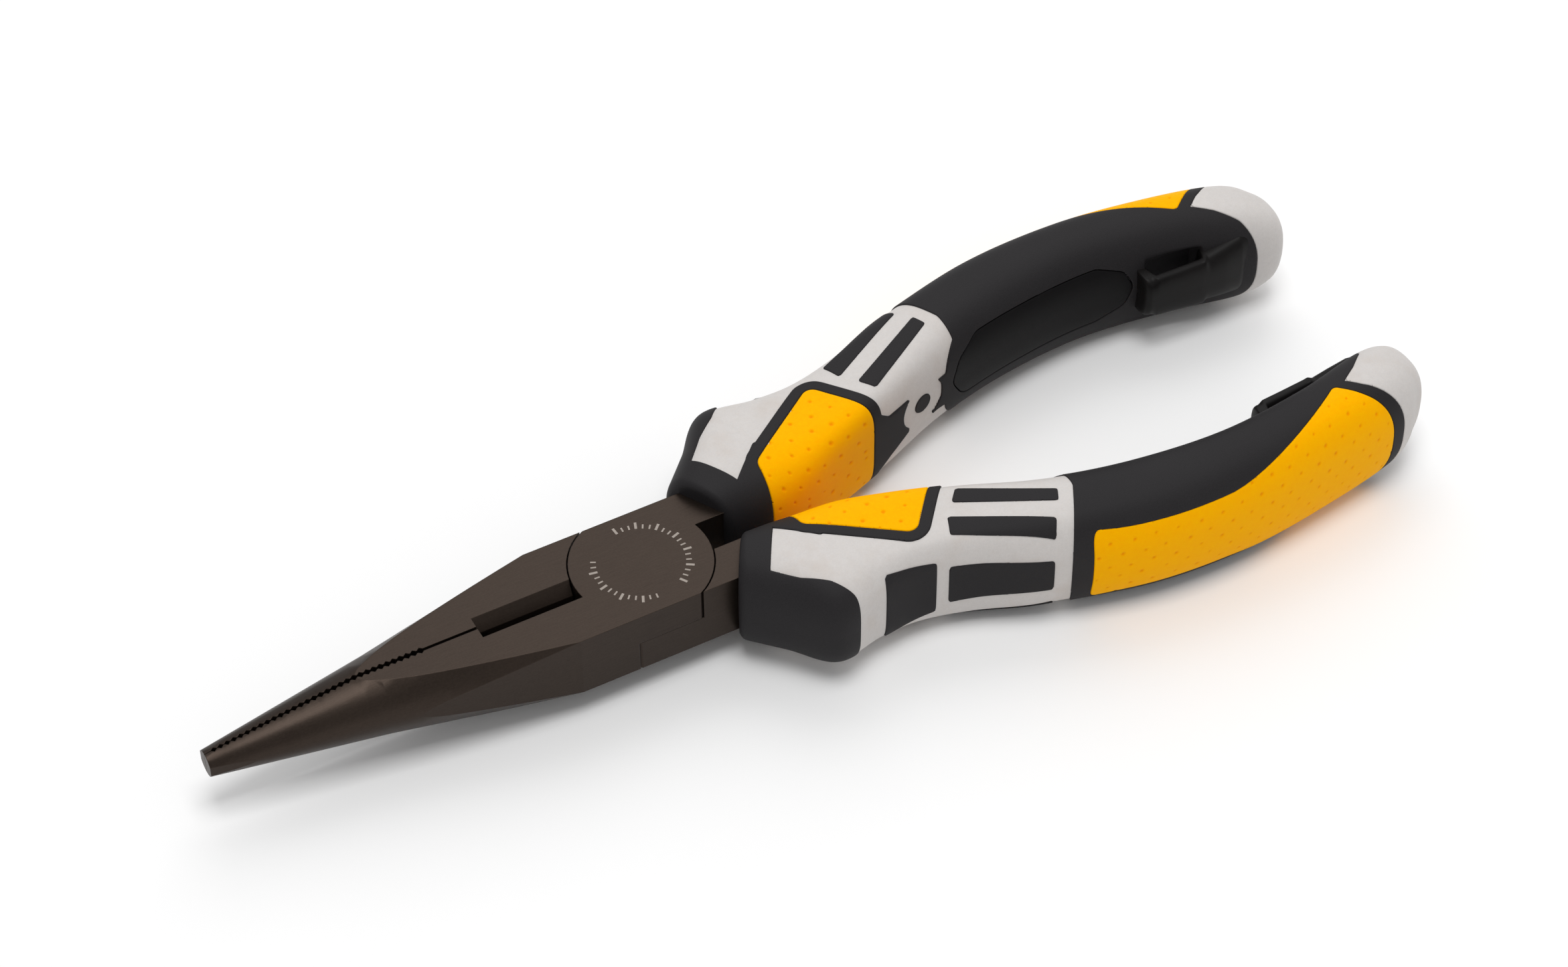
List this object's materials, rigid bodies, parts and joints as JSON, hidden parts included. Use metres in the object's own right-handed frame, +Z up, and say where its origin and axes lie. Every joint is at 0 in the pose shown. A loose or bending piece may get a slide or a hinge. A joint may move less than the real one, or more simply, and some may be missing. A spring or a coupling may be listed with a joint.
{
  "type": "needle nose pliers",
  "caption": "Long nose pliers with a lap joint, toothed tapering jaws, a side cutter and moulded two-part grips with soft pads and a tether bridge on each grip.",
  "frame": {"origin": "on the pivot axis, in the lower flat face of the lap joint", "axes": "+X runs along the closed pliers from the jaw tips to the ends of the grips, +Y runs across the jaws towards the grip of half A, +Z is up along the pivot axis"},
  "size_m": [0.1978, 0.0662, 0.0213],
  "materials": {
    "dark_steel": "dark satin phosphate with fine grinding lines",
    "rivet_steel": "dark satin, ground flush",
    "black_rubber": "soft matt thermoplastic rubber",
    "black_panel": "satin",
    "black_plastic": "satin moulded plastic",
    "pale_plastic": "satin moulded plastic, warm pale grey",
    "amber_pad": "soft matt rubber with moulded dimples"
  },
  "bodies": {
    "root": {"jaw_half_a": "dark_steel", "pivot_rivet": "rivet_steel", "core_a": "pale_plastic", "guard_a": "black_rubber", "sleeve_a": "black_rubber", "bars_a": "black_rubber", "thumb_pad_a": "amber_pad", "palm_pad_a": "amber_pad", "side_panel_a": "black_panel", "end_cap_a": "pale_plastic", "tether_bridge_a": "black_plastic"},
    "half_b": {"jaw_half_b": "dark_steel", "core_b": "pale_plastic", "guard_b": "black_rubber", "sleeve_b": "black_rubber", "bars_b": "black_rubber", "thumb_pad_b": "amber_pad", "palm_pad_b": "amber_pad", "side_panel_b": "black_panel", "end_cap_b": "pale_plastic", "tether_bridge_b": "black_plastic"}
  },
  "joints": [
    {"name": "pivot", "type": "hinge", "parent": "root", "child": "half_b", "pos_m": [0, 0, 0.00575], "axis": [0, 0, -1], "range_deg": [0, 40]}
  ]
}
